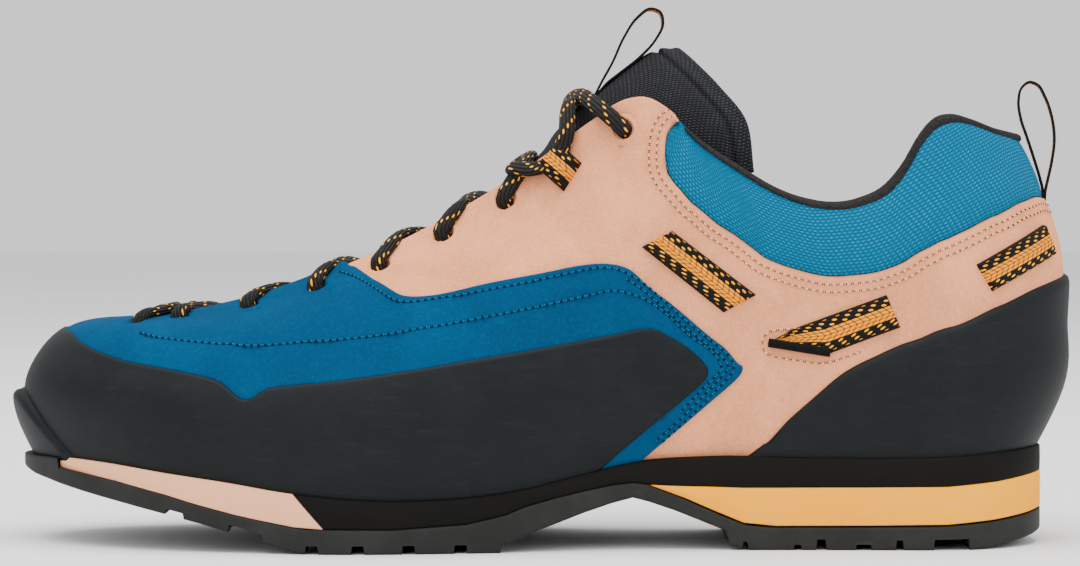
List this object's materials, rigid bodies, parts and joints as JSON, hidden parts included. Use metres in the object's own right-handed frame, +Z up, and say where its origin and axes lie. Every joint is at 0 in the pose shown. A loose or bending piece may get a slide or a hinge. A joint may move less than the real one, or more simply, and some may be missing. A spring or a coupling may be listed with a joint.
{
  "type": "approach shoe",
  "caption": "Low left approach shoe: hollow suede upper with rubber rand and heel counter, padded tongue, lace crossings, pull loops and a stepped lugged sole.",
  "frame": {"origin": "middle of the bounding box on the floor, under the waist of the shoe", "axes": "+X from toe to heel, +Y towards the inner (medial) side of the foot, +Z up; the shoe stands on its sole"},
  "size_m": [0.3005, 0.1023, 0.1511],
  "materials": {
    "tan_suede": "napped suede",
    "blue_suede": "napped suede",
    "rubber": "matt rubber",
    "outsole_rubber": "matt rubber",
    "foam_black": "fine-grained foam",
    "foam_yellow": "smooth foam",
    "foam_tan": "smooth foam",
    "tongue_mesh": "ribbed knit",
    "insole_felt": "felt",
    "lace_cord": "braided cord",
    "webbing": "woven tape",
    "tape": "woven tape"
  },
  "bodies": {
    "root": {"outsole": "outsole_rubber", "midsole": "foam_black", "forefoot_wedge": "foam_tan", "heel_wedge": "foam_yellow", "upper": "tan_suede", "vamp": "blue_suede", "rand": "rubber", "heel_counter": "rubber", "toe_bumper": "outsole_rubber", "tongue": "tongue_mesh", "insole": "insole_felt", "heel_loop": "tape", "tongue_loop": "tape", "lace_1": "lace_cord", "lace_2": "lace_cord", "lace_3": "lace_cord", "lace_4": "lace_cord", "lace_5": "lace_cord", "lace_6": "lace_cord", "lace_7": "lace_cord", "strap_front_l": "webbing", "strap_front_m": "webbing", "strap_mid_l": "webbing", "strap_mid_m": "webbing", "strap_rear_l": "webbing", "strap_rear_m": "webbing", "lace_loop_l": "webbing", "lace_loop_m": "webbing"}
  },
  "joints": []
}
